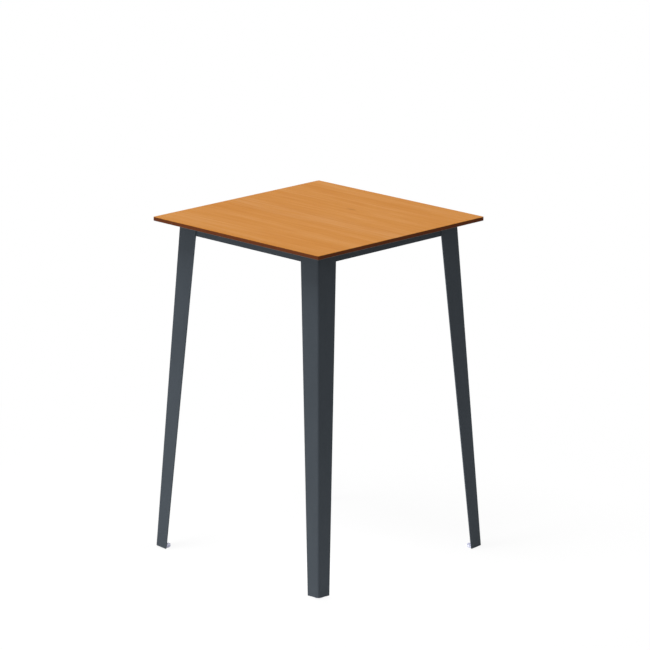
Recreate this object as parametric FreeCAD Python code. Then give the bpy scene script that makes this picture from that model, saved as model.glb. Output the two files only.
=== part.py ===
import FreeCAD, Part
import math
import os

# A square high table: a thin laminated board on four splayed legs of folded sheet, tied by four rails.
# Millimetres. The origin is on the floor under the middle of the board, Z is up, X runs along the wood grain.

Vec = FreeCAD.Vector

# Board
board_length = 700.0            # along X
board_width = 700.0             # along Y
table_height = 1038.0           # floor to top face, with the glides screwed home
board_thickness = 12.0
decor_thickness = 0.8
backing_thickness = 0.8
board_corner_radius = 3.0
board_arris = 0.5               # chamfer on the upper and lower edges
arris_limit = 0.9               # most of a sheet's thickness that the chamfer may take

# Legs
leg_sheet = 3.0
leg_bend_radius = 3.0           # inside of the fold
leg_inset = 55.5                # board edge in to the leg's outer face, at the board
foot_overrun = 3.2              # leg's outer face past the board edge, at the foot
leg_width_top = 73.7
leg_width_foot = 45.5
leg_clearance = 3.0             # lowest point of the leg above the floor
cutter_margin = 10.0            # how far cutting solids reach past what they cut

# Rails
rail_sheet = 3.0
rail_bend_radius = 3.0
rail_depth = 36.0
rail_flange_width = 30.0
rail_flange_gap = 2.0           # between a rail's top flange and the head plate beside it
rail_tab_gap = 0.5              # between a rail's tab and the head plate above it
rail_end_gap = 5.0              # between a rail's end and the nuts of the rail round the corner

# Weld studs, washers and nuts that hold the rails
stud_diameter = 6.0
stud_flange_diameter = 7.5
stud_flange_thickness = 0.8
stud_end_edge = 10.0            # stud in from the rail's end
stud_leg_edge = 16.0            # stud in from the free edge of the leg's flange
stud_tip = 1.5                  # stud past its nut
stud_hole_clearance = 0.25      # round the stud's flange
washer_diameter = 12.0
washer_thickness = 1.6
washer_clearance = 0.2
nut_flats = 10.0
nut_height = 6.0
thread_clearance = 0.05         # radial, between a screw thread and what it turns in

# Head plates
head_plate_thickness = 5.0
head_plate_free_clip = 25.0
bend_clearance = 2.0            # between a plate's cut corner and the end of the leg's fold

# Board screws and inserts
screw_diameter = 6.0
screw_flange_diameter = 13.0
screw_flange_thickness = 1.0
screw_head_diameter = 10.0
screw_head_height = 3.3
screw_dome = 1.2                # radius taken off the head's rim
screw_socket_flats = 4.0
screw_socket_depth = 2.0
screw_hole_clearance = 0.3
screw_nut_gap = 2.4             # between a head plate screw and the rail's nuts
screw_tip_gap = 1.0             # screw short of the insert's upper end
head_screw_pitch = 22.0         # between the two screws of a head plate, across X and Y
head_screw_edge = 14.0          # screw in from the head plate's free edge
rail_screw_edge = 13.0          # screw in from the free edge of the rail's flange
rail_screw_spread = 240.0       # between the two screws of a rail
insert_diameter = 8.0
insert_fit = 0.05
insert_hole_spare = 0.5         # hole deeper than the insert
insert_cover = 2.7              # core left over the hole

# Feet
glide_diameter = 32.0
glide_foot_chamfer = 2.5
glide_top_chamfer = 0.5
glide_wall_gap = 2.0            # between the glide and the leg's inner faces
glide_travel = 12.0
glide_floor = 3.0               # plastic under the stud
glide_fit = 0.1                 # round the stud in the pad
glide_stud_diameter = 8.0
glide_stud_chamfer = 0.8
glide_collar_diameter = 13.0
glide_collar_height = 3.0
glide_collar_play = 0.2
glide_stud_spare = 2.0          # stud past its nut when the glide is all the way out
glide_socket_flats = 4.0
glide_socket_depth = 5.0
foot_plate_rise = 5.5           # plate above the leg's lowest point
foot_plate_thickness = 5.0
foot_plate_hole_clearance = 0.25
foot_plate_margin = 0.5         # plate round the hole, on its long edge
foot_plate_setback = 1.5        # plate in from the free edges of the leg's flanges
weld_nut_diameter = 11.0
weld_nut_height = 6.5
weld_nut_chamfer = 0.8

# Worked out from the sizes above
board_bottom = table_height - board_thickness
core_bottom = board_bottom + backing_thickness
core_top = table_height - decor_thickness
lean = (leg_inset + foot_overrun) / (board_bottom - leg_clearance)
fold = Vec(-lean, -lean, 1.0)                    # up the fold of the leg in the +X +Y corner
widening = (leg_width_top - leg_width_foot) / (board_bottom - leg_clearance)
stud_reach = rail_sheet + washer_thickness + nut_height + stud_tip
rail_end_inset = leg_sheet + stud_reach + rail_end_gap
rail_tab_top = board_bottom - head_plate_thickness - rail_tab_gap
stud_height = (rail_tab_top + board_bottom - rail_depth) / 2
stud_inset_near = rail_end_inset + stud_end_edge
stud_inset_far = leg_width_top - stud_leg_edge
head_screw_near = leg_sheet + stud_reach + screw_nut_gap + screw_flange_diameter / 2
head_screw_far = head_screw_near + head_screw_pitch
head_plate_reach = head_screw_far + head_screw_edge
bend_clip = leg_bend_radius + bend_clearance
insert_length = board_thickness - decor_thickness - insert_cover - insert_hole_spare
screw_engagement = insert_length - screw_tip_gap
rail_screw_inset = leg_sheet + rail_flange_width - rail_screw_edge
glide_inset = leg_sheet + glide_wall_gap + glide_diameter / 2
glide_height = leg_clearance + foot_plate_rise
weld_nut_bottom = glide_height + foot_plate_thickness

corners = {"front_right": (1, -1), "back_right": (1, 1), "back_left": (-1, 1), "front_left": (-1, -1)}


def outer_x(z):
    """Distance from the middle to the legs' outer faces across X, at height z."""
    return board_length / 2 - leg_inset + lean * (board_bottom - z)


def outer_y(z):
    """Distance from the middle to the legs' outer faces across Y, at height z."""
    return board_width / 2 - leg_inset + lean * (board_bottom - z)


# Each side as the two distances across and along its rail, and its turn about Z from the +Y side
sides = {
    "back": (outer_y, outer_x, 0.0),
    "left": (outer_x, outer_y, 90.0),
    "front": (outer_y, outer_x, 180.0),
    "right": (outer_x, outer_y, 270.0),
}


# Helpers

def inside(in_x, in_y, z):
    """Point of the +X +Y corner, by its distances in from the leg's outer faces."""
    return Vec(outer_x(z) - in_x, outer_y(z) - in_y, z)


def to_corner(shape, corner):
    """Mirrors a shape made in the +X +Y corner into the named corner."""
    side_x, side_y = corners[corner]
    if side_x < 0:
        shape = shape.mirror(Vec(), Vec(1, 0, 0))
    if side_y < 0:
        shape = shape.mirror(Vec(), Vec(0, 1, 0))
    return shape


def to_side(shape, side):
    """Turns a shape made on the +Y side to the named side."""
    turned_shape = shape.copy()
    turned_shape.rotate(Vec(), Vec(0, 0, 1), sides[side][2])
    return turned_shape


def pointed(shape, base, direction):
    """Moves a shape made up the Z axis to a base point, pointing along a direction."""
    moved = shape.copy()
    moved.Placement = FreeCAD.Placement(base, FreeCAD.Rotation(Vec(0, 0, 1), direction))
    return moved


def polygon_face(points):
    return Part.Face(Part.makePolygon(points + points[:1]))


def turned(outline):
    """Solid of revolution about Z from an outline of (radius, height) points."""
    face = polygon_face([Vec(radius, 0, z) for radius, z in outline])
    return face.revolve(Vec(), Vec(0, 0, 1), 360)


def rod(diameter, base, length, direction=Vec(0, 0, 1)):
    return Part.makeCylinder(diameter / 2, length, base, direction)


def hexagon(flats, height, base=Vec()):
    corner = flats / math.sqrt(3)
    angles = [math.radians(60 * step) for step in range(6)]
    points = [base + Vec(corner * math.cos(a), corner * math.sin(a), 0) for a in angles]
    return polygon_face(points).extrude(Vec(0, 0, height))


def hex_nut(flats, height, bore):
    """Nut with bevelled corners, standing on the origin."""
    corner = flats / math.sqrt(3)
    bevel = (corner - flats / 2) * math.tan(math.radians(30))
    envelope = turned([(0, 0), (flats / 2, 0), (corner, bevel), (corner, height - bevel),
                       (flats / 2, height), (0, height)])
    nut = hexagon(flats, height).common(envelope)
    return nut.cut(rod(bore, Vec(), height))


def leaning_plate(outline, bottom, thickness):
    """Level plate in a leg, from points given by their distances in from the leg's outer faces."""
    points = [inside(in_x, in_y, bottom) for in_x, in_y in outline]
    return polygon_face(points).extrude(fold * thickness)


# Board

def board_layer(bottom, top):
    """One layer of the board, with rounded upright corners."""
    layer = Part.makeBox(board_length, board_width, top - bottom,
                         Vec(-board_length / 2, -board_width / 2, bottom))
    upright = [edge for edge in layer.Edges if edge.Vertexes[0].Z != edge.Vertexes[1].Z]
    return layer.makeFillet(board_corner_radius, upright)


def bevelled(layer, height):
    """Takes the arris off the rim of a sheet at the given height."""
    sheet = layer.BoundBox.ZLength
    rim = [edge for edge in layer.Edges
           if all(abs(vertex.Z - height) < sheet / 2 for vertex in edge.Vertexes)]
    return layer.makeChamfer(min(board_arris, arris_limit * sheet), rim)


def head_screw_points():
    """Screw places on the board's underside, two to each leg."""
    pairs = ((head_screw_far, head_screw_near), (head_screw_near, head_screw_far))
    return {name: [Vec(side_x * inside(*pair, board_bottom).x, side_y * inside(*pair, board_bottom).y,
                       board_bottom) for pair in pairs]
            for name, (side_x, side_y) in corners.items()}


def rail_screw_spots(side):
    """Screw places of a rail while it is still on the +Y side."""
    across = sides[side][0]
    return [Vec(end * rail_screw_spread / 2, across(board_bottom) - rail_screw_inset, board_bottom)
            for end in (-1, 1)]


def rail_screw_points(side):
    """Screw places on the board's underside, two to each rail."""
    spin = FreeCAD.Rotation(Vec(0, 0, 1), sides[side][2])
    return [spin.multVec(spot) for spot in rail_screw_spots(side)]


def all_screw_points():
    points = [point for pair in head_screw_points().values() for point in pair]
    return points + [point for side in sides for point in rail_screw_points(side)]


def drilled(layer):
    """Bores the insert holes, from the underside of the board up."""
    holes = [rod(insert_diameter + 2 * insert_fit, point, insert_length + insert_hole_spare)
             for point in all_screw_points()]
    return layer.cut(Part.makeCompound(holes))


def board_insert(point):
    sleeve = rod(insert_diameter, point, insert_length)
    return sleeve.cut(rod(screw_diameter + 2 * thread_clearance, point, insert_length))


def board_screw(grip):
    """Flanged button head screw: head below the origin, shank up through the grip into the board."""
    rim = screw_head_diameter / 2
    head = turned([(0, -screw_head_height), (rim - screw_dome, -screw_head_height),
                   (rim, -screw_head_height + screw_dome), (rim, -screw_flange_thickness),
                   (screw_flange_diameter / 2, -screw_flange_thickness), (screw_flange_diameter / 2, 0),
                   (screw_diameter / 2, 0), (screw_diameter / 2, grip + screw_engagement),
                   (0, grip + screw_engagement)])
    return head.cut(hexagon(screw_socket_flats, screw_socket_depth, Vec(0, 0, -screw_head_height)))


def screws(points, grip):
    screw = board_screw(grip)
    return Part.makeCompound([screw.translated(point - Vec(0, 0, grip)) for point in points])


# Legs

def leg_outline(z, length):
    """L outline at height z with flanges of one length, folded round one centre."""
    outer = leg_bend_radius + leg_sheet
    outer_mid = outer - outer / math.sqrt(2)
    inner_mid = outer - leg_bend_radius / math.sqrt(2)

    def line(start, end):
        return Part.LineSegment(inside(*start, z), inside(*end, z)).toShape()

    def arc(start, middle, end):
        return Part.Arc(inside(*start, z), inside(*middle, z), inside(*end, z)).toShape()

    return Part.Wire([
        line((length, 0), (outer, 0)),
        arc((outer, 0), (outer_mid, outer_mid), (0, outer)),
        line((0, outer), (0, length)),
        line((0, length), (leg_sheet, length)),
        line((leg_sheet, length), (leg_sheet, outer)),
        arc((leg_sheet, outer), (inner_mid, inner_mid), (outer, leg_sheet)),
        line((outer, leg_sheet), (length, leg_sheet)),
        line((length, leg_sheet), (length, 0)),
    ])


def flange_wedge(outer, upright):
    """Tapered region that a flange is trimmed to, as an XZ outline drawn out along Y."""
    low = leg_clearance - cutter_margin
    outline = []
    for z in (low, board_bottom):
        width = leg_width_foot + widening * (z - leg_clearance)
        outline.append((outer(z) - width, z))
    outline.append((outer(board_bottom) + cutter_margin, board_bottom))
    outline.append((outer(low) + cutter_margin, low))
    reach = upright(low) + cutter_margin
    return polygon_face([Vec(x, 0, z) for x, z in outline]).extrude(Vec(0, reach, 0))


def leg():
    """Leg of the +X +Y corner: level at the board, cut square to its fold at the foot."""
    low = leg_clearance - cutter_margin
    section = Part.Face(leg_outline(low, leg_width_top + cutter_margin))
    blank = section.extrude(fold * (board_bottom - low))
    wedge_y = flange_wedge(outer_y, outer_x)
    wedge_y = wedge_y.mirror(Vec(), Vec(1, -1, 0))
    trimmed = blank.common(flange_wedge(outer_x, outer_y)).common(wedge_y)
    size = 2 * leg_width_top
    waste = Part.makeBox(size, size, size, Vec(-size / 2, -size / 2, -size))
    flange_end = inside(leg_width_foot, 0, leg_clearance)
    return trimmed.cut(pointed(waste, flange_end, fold))


def head_plate(corner):
    reach, clip = head_plate_reach, head_plate_free_clip
    outline = [(leg_sheet + bend_clip, leg_sheet), (reach, leg_sheet), (reach, reach - clip),
               (reach - clip, reach), (leg_sheet, reach), (leg_sheet, leg_sheet + bend_clip)]
    bottom = board_bottom - head_plate_thickness
    plate = to_corner(leaning_plate(outline, bottom, head_plate_thickness), corner)
    holes = [rod(screw_diameter + 2 * screw_hole_clearance, point - Vec(0, 0, head_plate_thickness),
                 head_plate_thickness) for point in head_screw_points()[corner]]
    return plate.cut(Part.makeCompound(holes))


def foot_plate():
    """Plate of the +X +Y foot: fills the L up to a long edge past the glide's hole."""
    hole = glide_stud_diameter / 2 + foot_plate_hole_clearance
    long_edge = 2 * glide_inset + (hole + foot_plate_margin) * math.sqrt(2)
    wall, clip, tip = leg_sheet, leg_sheet + bend_clip, long_edge - leg_sheet
    corner = leaning_plate([(clip, wall), (tip, wall), (wall, tip), (wall, clip)], glide_height,
                           foot_plate_thickness)
    end = leg_width_foot - foot_plate_setback
    square = leaning_plate([(0, 0), (end, 0), (end, end), (0, end)], glide_height, foot_plate_thickness)
    return corner.common(square).cut(rod(2 * hole, glide_point(glide_height), foot_plate_thickness))


# Glides

def glide_point(z):
    """Point on the upright axis of the +X +Y glide."""
    axis = inside(glide_inset, glide_inset, leg_clearance)
    return Vec(axis.x, axis.y, z)


def weld_nut():
    """Round nut for the glide's stud, standing on the foot plate."""
    bore = glide_stud_diameter / 2 + thread_clearance
    rim = weld_nut_diameter / 2
    outline = [(bore, 0), (rim, 0), (rim, weld_nut_height - weld_nut_chamfer),
               (rim - weld_nut_chamfer, weld_nut_height), (bore, weld_nut_height)]
    return turned(outline).translated(glide_point(weld_nut_bottom))


def glide_pad():
    """Plastic pad with a socket that holds the stud's collar."""
    rim = glide_diameter / 2
    neck = glide_stud_diameter / 2 + glide_fit
    chamber = glide_collar_diameter / 2 + glide_fit
    chamber_top = glide_floor + glide_collar_height + glide_collar_play
    return turned([(0, 0), (rim - glide_foot_chamfer, 0), (rim, glide_foot_chamfer),
                   (rim, glide_height - glide_top_chamfer), (rim - glide_top_chamfer, glide_height),
                   (neck, glide_height), (neck, chamber_top), (chamber, chamber_top),
                   (chamber, glide_floor), (0, glide_floor)])


def glide_stud():
    """Threaded stud, collar in the pad, with a hexagon socket in its upper end."""
    radius = glide_stud_diameter / 2
    collar_top = glide_floor + glide_collar_height
    top = weld_nut_bottom + weld_nut_height + glide_travel + glide_stud_spare
    stud = turned([(0, glide_floor), (glide_collar_diameter / 2, glide_floor),
                   (glide_collar_diameter / 2, collar_top), (radius, collar_top),
                   (radius, top - glide_stud_chamfer), (radius - glide_stud_chamfer, top), (0, top)])
    return stud.cut(hexagon(glide_socket_flats, glide_socket_depth, Vec(0, 0, top - glide_socket_depth)))


# Rails

def stud_axes(side):
    """Base points on the legs' inner faces and the inward direction, for the +Y side."""
    across, along = sides[side][:2]
    inward = Vec(0, -1, -lean).normalize()
    base_y = across(stud_height) - leg_sheet
    bases = [Vec(end * (along(stud_height) - inset), base_y, stud_height)
             for end in (-1, 1) for inset in (stud_inset_near, stud_inset_far)]
    return bases, inward


def rail(side):
    """Folded rail: a web that leans with the legs and a level flange under the board."""
    across, along = sides[side][:2]
    low = board_bottom - rail_depth
    under = board_bottom - rail_sheet
    half_length = along(board_bottom) - rail_end_inset
    flange_half = along(board_bottom) - head_plate_reach - rail_flange_gap
    face_top = across(board_bottom) - leg_sheet
    section = [(face_top, board_bottom), (across(low) - leg_sheet, low),
               (across(low) - leg_sheet - rail_sheet, low), (across(under) - leg_sheet - rail_sheet, under),
               (face_top - rail_flange_width, under), (face_top - rail_flange_width, board_bottom)]
    points = [Vec(-half_length, y, z) for y, z in section]
    bar = polygon_face(points).extrude(Vec(2 * half_length, 0, 0))
    for point, radius in ((points[0], rail_bend_radius + rail_sheet), (points[3], rail_bend_radius)):
        middle = Vec(0, point.y, point.z)
        bend = [edge for edge in bar.Edges if (edge.CenterOfMass - middle).Length < rail_sheet / 10]
        bar = bar.makeFillet(radius, bend)
    notch = Part.makeBox(half_length - flange_half, rail_flange_width + cutter_margin,
                         board_bottom - rail_tab_top,
                         Vec(flange_half, face_top - rail_flange_width, rail_tab_top))
    cutters = [notch, notch.mirror(Vec(), Vec(1, 0, 0))]
    bases, inward = stud_axes(side)
    hole = stud_flange_diameter + 2 * stud_hole_clearance
    cutters += [rod(hole, base, 2 * rail_sheet, inward) for base in bases]
    cutters += [rod(screw_diameter + 2 * screw_hole_clearance, spot - Vec(0, 0, rail_sheet), rail_sheet)
                for spot in rail_screw_spots(side)]
    return to_side(bar.cut(Part.makeCompound(cutters)), side)


def weld_stud():
    """Weld stud standing on the origin, with the flange that is welded to the leg."""
    flange, radius = stud_flange_diameter / 2, stud_diameter / 2
    return turned([(0, 0), (flange, 0), (flange, stud_flange_thickness), (radius, stud_flange_thickness),
                   (radius, stud_reach), (0, stud_reach)])


def washer():
    bore = stud_diameter / 2 + washer_clearance
    rim = washer_diameter / 2
    return turned([(bore, 0), (rim, 0), (rim, washer_thickness), (bore, washer_thickness)])


def rail_fixings(piece, lift):
    """One piece on every weld stud of every side, lifted along the stud from the leg's inner face."""
    placed = []
    for side in sides:
        bases, inward = stud_axes(side)
        placed += [to_side(pointed(piece, base + inward * lift, inward), side) for base in bases]
    return Part.makeCompound(placed)


# Nodes

def build_nodes():
    nodes = {
        "tabletop_decor_sheet": bevelled(board_layer(core_top, table_height), table_height),
        "tabletop_core": drilled(board_layer(core_bottom, core_top)),
        "tabletop_backing_sheet": drilled(bevelled(board_layer(board_bottom, core_bottom), board_bottom)),
        "board_inserts": Part.makeCompound([board_insert(point) for point in all_screw_points()]),
    }
    head_points = [point for pair in head_screw_points().values() for point in pair]
    rail_points = [point for side in sides for point in rail_screw_points(side)]
    nodes["head_plate_screws"] = screws(head_points, head_plate_thickness)
    nodes["rail_screws"] = screws(rail_points, rail_sheet)

    on_axis = glide_point(0)
    for corner in corners:
        nodes["leg_" + corner] = to_corner(leg(), corner)
        nodes["head_plate_" + corner] = head_plate(corner)
        nodes["foot_plate_" + corner] = to_corner(foot_plate(), corner)
        nodes["glide_pad_" + corner] = to_corner(glide_pad().translated(on_axis), corner)
        nodes["glide_stud_" + corner] = to_corner(glide_stud().translated(on_axis), corner)
    nodes["foot_weld_nuts"] = Part.makeCompound([to_corner(weld_nut(), corner) for corner in corners])

    for side in sides:
        nodes["rail_" + side] = rail(side)
    nut = hex_nut(nut_flats, nut_height, stud_diameter + 2 * thread_clearance)
    washer_lift = rail_sheet * math.cos(math.atan(lean))
    nodes["rail_weld_studs"] = rail_fixings(weld_stud(), 0.0)
    nodes["rail_washers"] = rail_fixings(washer(), washer_lift)
    nodes["rail_nuts"] = rail_fixings(nut, washer_lift + washer_thickness)
    return nodes


os.makedirs("parts", exist_ok=True)
for name, shape in build_nodes().items():
    shape.exportStep("parts/" + name + ".step")
    print(name, len(shape.Solids), "solid(s)", round(shape.Volume / 1000, 2), "cm3", "valid", shape.isValid())
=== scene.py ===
# %% [markdown]
# A square high table: a thin laminated board on four splayed legs of folded steel sheet.
# Its solids were drawn first and packed as a frame that is fixed: every solid has its place, in metres.
# This script dresses that frame. It gives the solids that show their finishes, and puts finer pieces
# in the place of those where a close look would miss soft edges, threads or welds.

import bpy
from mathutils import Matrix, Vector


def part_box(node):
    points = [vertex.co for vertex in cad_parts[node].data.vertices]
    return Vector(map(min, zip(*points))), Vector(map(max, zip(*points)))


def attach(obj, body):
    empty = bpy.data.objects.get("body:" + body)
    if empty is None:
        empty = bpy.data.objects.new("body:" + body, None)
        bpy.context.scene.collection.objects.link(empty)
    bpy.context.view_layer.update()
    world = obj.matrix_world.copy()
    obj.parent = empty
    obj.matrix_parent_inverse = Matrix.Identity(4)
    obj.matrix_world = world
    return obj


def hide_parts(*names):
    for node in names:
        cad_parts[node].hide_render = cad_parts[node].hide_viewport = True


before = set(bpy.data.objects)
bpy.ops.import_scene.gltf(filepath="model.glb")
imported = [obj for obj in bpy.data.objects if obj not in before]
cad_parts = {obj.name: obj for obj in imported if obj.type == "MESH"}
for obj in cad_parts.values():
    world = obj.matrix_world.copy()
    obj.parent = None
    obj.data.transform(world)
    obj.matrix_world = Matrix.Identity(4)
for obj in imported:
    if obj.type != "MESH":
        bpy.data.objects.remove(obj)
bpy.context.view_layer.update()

# %% [markdown]
# Sizes come from the frame, so the dressing fits the solids. Millimetres read more easily than
# metres on furniture, so small sizes are written as a number times MM.
# The legs lean outwards evenly, and two widths and two heights of a leg are enough to describe it.

# %% Sizes of the table
import math

import bmesh
import bpy
from mathutils import Matrix, Vector
from mathutils.bvhtree import BVHTree

MM = 0.001
MERGE = 0.002 * MM          # points closer than this are one point
corners = ("front_right", "back_right", "back_left", "front_left")
sides = ("front", "right", "back", "left")


def points_of(node):
    """The corner points of a solid."""
    return [vertex.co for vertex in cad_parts[node].data.vertices]


def reach_at(node, height):
    """How far a solid's corners reach along +X at one height, as its lowest and highest x."""
    spots = [point.x for point in points_of(node) if abs(point.z - height) < 0.01 * MM]
    return min(spots), max(spots)


board_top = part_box("tabletop_decor_sheet")[1].z
board_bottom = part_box("tabletop_backing_sheet")[0].z
foot_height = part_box("leg_back_right")[0].z
leg_top_inner, leg_top_outer = reach_at("leg_back_right", board_bottom)
leg_top_width = leg_top_outer - leg_top_inner
leg_foot_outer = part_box("leg_back_right")[1].x
leg_lean = (leg_foot_outer - leg_top_outer) / (board_bottom - foot_height)
print(f"board top {board_top / MM:.1f} mm, legs lean {math.degrees(math.atan(leg_lean)):.2f} degrees,",
      f"{leg_top_width / MM:.1f} mm wide at the board")

# %% [markdown]
# Finishes and shapes are both made of nodes. One small class wraps a node's output, so that ordinary
# arithmetic in Python adds the Math nodes, and 1 - mask works too. Another adds every other node:
# first its settings, then the values or links of its sockets.

# %% Nodes written as arithmetic
class Wire:
    """One output of a node. Python's operators on it add Math nodes to the same tree."""

    def __init__(self, builder, socket):
        self.builder = builder
        self.socket = socket

    def out(self, name):
        """Another output of the same node."""
        return Wire(self.builder, self.socket.node.outputs[name])

    def calc(self, operation, *values):
        """A Math node of that operation, for what has no operator in Python."""
        return self.builder.add("ShaderNodeMath", {"operation": operation}, dict(enumerate(values)))

    def __add__(self, other):
        return self.calc("ADD", self, other)

    def __radd__(self, other):
        return self.calc("ADD", other, self)

    def __sub__(self, other):
        return self.calc("SUBTRACT", self, other)

    def __rsub__(self, other):
        return self.calc("SUBTRACT", other, self)

    def __mul__(self, other):
        return self.calc("MULTIPLY", self, other)

    def __rmul__(self, other):
        return self.calc("MULTIPLY", other, self)

    def __truediv__(self, other):
        return self.calc("DIVIDE", self, other)

    def between(self, low, high):
        """The same value, held between two limits."""
        return self.builder.add("ShaderNodeClamp", {}, {"Value": self, "Min": low, "Max": high})

    def step(self, start, end):
        """Rises smoothly from 0 to 1 while this value goes from start to end."""
        return self.builder.add("ShaderNodeMapRange", {"interpolation_type": "SMOOTHSTEP"},
                                {"Value": self, "From Min": start, "From Max": end})


class Builder:
    """Adds nodes to one tree."""

    def __init__(self, tree):
        self.tree = tree

    def add(self, kind, settings=None, sockets=None, output=0):
        """Adds a node with its settings and its sockets' values or links, and gives one output."""
        made = self.tree.nodes.new(kind)
        for name, value in (settings or {}).items():
            if name == "stops":
                self.set_stops(made.color_ramp, value)
            else:
                setattr(made, name, value)
        for key, value in (sockets or {}).items():
            if isinstance(value, Wire):
                self.tree.links.new(value.socket, made.inputs[key])
            else:
                made.inputs[key].default_value = value
        return Wire(self, made.outputs[output]) if len(made.outputs) else None

    def set_stops(self, ramp, stops):
        """Gives a ramp its stops, each a position and a colour."""
        while len(ramp.elements) < len(stops):
            ramp.elements.new(1.0)
        for element, (position, colour) in zip(ramp.elements, stops):
            element.position = position
            element.color = colour

    def blend(self, share, first, second):
        """Goes from one colour to another, by a share of 0 to 1."""
        return self.add("ShaderNodeMix", {"data_type": "RGBA"}, {0: share, 6: first, 7: second}, 2)


print("node helpers:", Wire.__name__, "and", Builder.__name__)

# %% [markdown]
# Colours are written as a picture shows them, 0 to 255, and turned into the linear light that shaders
# add and multiply. Every finish reads Object coordinates: a piece sits at the origin with its place in
# its mesh, so these are metres on the real table, and a grain keeps its scale and direction.
# Noise that is squeezed along one axis is the start of most of these finishes.

# %% Helpers for finishes
def paint(red, green, blue):
    """A colour of 0 to 255 as a shader's linear colour."""
    def linear(level):
        level = level / 255
        return level / 12.92 if level <= 0.04045 else ((level + 0.055) / 1.055) ** 2.4

    return linear(red), linear(green), linear(blue), 1.0


def new_finish(name):
    """An empty material, the builder of its nodes and its place on the table in metres."""
    material = bpy.data.materials.new(name)
    material.use_nodes = True
    material.node_tree.nodes.clear()
    builder = Builder(material.node_tree)
    return material, builder, builder.add("ShaderNodeTexCoord", output="Object")


def noise(place, per_metre, detail=2.0):
    """Noise of 0 to 1 with so many features to the metre along X, Y and Z."""
    squeezed = place.builder.add("ShaderNodeMapping", {}, {"Vector": place, "Scale": per_metre})
    return place.builder.add("ShaderNodeTexNoise", {}, {"Vector": squeezed, "Scale": 1.0, "Detail": detail})


def bump(height, depth):
    """Small relief of a depth in metres, for a shader's Normal."""
    return height.builder.add("ShaderNodeBump", {}, {"Strength": 1.0, "Distance": depth, "Height": height})


def surface(builder, **sockets):
    """Ends a material in a shader whose sockets are given by name, with _ for a space."""
    named = {name.replace("_", " "): value for name, value in sockets.items()}
    shader = builder.add("ShaderNodeBsdfPrincipled", {}, named)
    builder.add("ShaderNodeOutputMaterial", {}, {"Surface": shader})


def dress(material, *nodes):
    """Gives a finish to solids of the frame that stay in view."""
    for node in nodes:
        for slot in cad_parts[node].material_slots:
            slot.material = material
    print(material.name, "on", len(nodes), "solid(s)")


print("mid grey, 128 of 255, is", round(paint(128, 128, 128)[0], 3), "in linear light")

# %% [markdown]
# The top is a thin decor laminate printed like a straight-grained, warm light wood and pressed to a
# fine satin. From a step away it is almost one colour, with long faint streaks that waver a little.
# So the streaks are noise stretched along X in three widths, added up softly. Close up there are short
# dark pores, which also dent the surface a little. A paler strip crosses the middle, short ruddy
# pieces lie about, and there is one small dark fleck as timber often has.
# A picture of wood would repeat and blur close up, while noise has detail at any distance.

# %% Wood decor of the top
fleck_x = 2 * MM
fleck_y = 138 * MM
fleck_length = 44 * MM
fleck_width = 13 * MM
pale_y = -18 * MM
pale_width = 60 * MM
waver_size = 14 * MM

wood_decor, wood, wood_place = new_finish("straight_grain_decor")
wood_xyz = wood.add("ShaderNodeSeparateXYZ", {}, {"Vector": wood_place})
wood_x = wood_xyz.out("X")
waver = noise(wood_place, (1.6, 5.0, 0.0), 1.0) - 0.5
wood_y = wood_xyz.out("Y") + waver * waver_size
along_grain = wood.add("ShaderNodeCombineXYZ", {}, {"X": wood_x, "Y": wood_y, "Z": 0.0})
bands = noise(along_grain, (1.4, 21.0, 0.0))
streaks = noise(along_grain, (4.0, 110.0, 0.0))
fibres = noise(along_grain, (16.0, 950.0, 0.0))
pores = noise(along_grain, (70.0, 2300.0, 0.0), 1.0).step(0.60, 0.74)
tone = 0.5 + (bands - 0.5) * 0.85 + (streaks - 0.5) * 0.60 + (fibres - 0.5) * 0.65
timber = wood.add("ShaderNodeValToRGB", {"stops": [
    (0.10, paint(196, 121, 36)), (0.50, paint(207, 138, 62)), (0.90, paint(217, 155, 90))]}, {"Fac": tone})
across_fleck = (wood_y - fleck_y) / fleck_width
along_fleck = (wood_x - fleck_x) / fleck_length
fleck_rim = across_fleck * across_fleck + along_fleck * along_fleck + (fibres - 0.5) * 0.7
fleck = fleck_rim.step(0.30, -0.05) * (0.45 + fibres)
across_pale = (wood_y - pale_y) / pale_width
pale = (across_pale * across_pale).step(1.0, 0.1) * streaks.step(0.35, 0.65)
ruddy = noise(along_grain, (6.0, 75.0, 0.0), 1.0).step(0.60, 0.76)
timber = wood.blend(pale * 0.28, timber, paint(211, 153, 98))
timber = wood.blend(ruddy * 0.35, timber, paint(198, 121, 52))
timber = wood.blend(pores * 0.45, timber, paint(170, 100, 38))
timber = wood.blend(fleck * 0.50, timber, paint(150, 84, 22))
surface(wood, Base_Color=timber, Roughness=0.52 + (fibres - 0.5) * 0.16, Specular_IOR_Level=0.03,
        Normal=bump(fibres * 0.5 - pores, 0.03 * MM))
dress(wood_decor, "tabletop_decor_sheet")

# %% [markdown]
# The board's body is paper soaked in resin and pressed hard, many thin brown sheets on each other.
# Its sawn and sanded edge shows them as fine level lines. Noise that is wide across X and Y and very
# thin in Z gives such layers, and a finer one adds the scratches of the sanding belt.
# The underside is a plain balancing sheet with a slight emboss, so it stays quiet and a little mottled.

# %% Core and backing of the board
laminate_core, core, core_place = new_finish("pressed_paper_core")
paper = noise(core_place, (9.0, 9.0, 4200.0))
cloud = noise(core_place, (40.0, 40.0, 300.0))
scratch = noise(core_place, (150.0, 150.0, 9000.0), 1.0)
kraft = core.add("ShaderNodeValToRGB", {"stops": [
    (0.25, paint(86, 42, 22)), (0.55, paint(112, 58, 29)), (0.80, paint(137, 76, 41))]},
    {"Fac": paper * 0.7 + cloud * 0.3})
surface(core, Base_Color=kraft, Roughness=0.50 + scratch * 0.2, Specular_IOR_Level=0.08,
        Normal=bump(paper * 0.6 + scratch * 0.4, 0.04 * MM))
dress(laminate_core, "tabletop_core")

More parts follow.
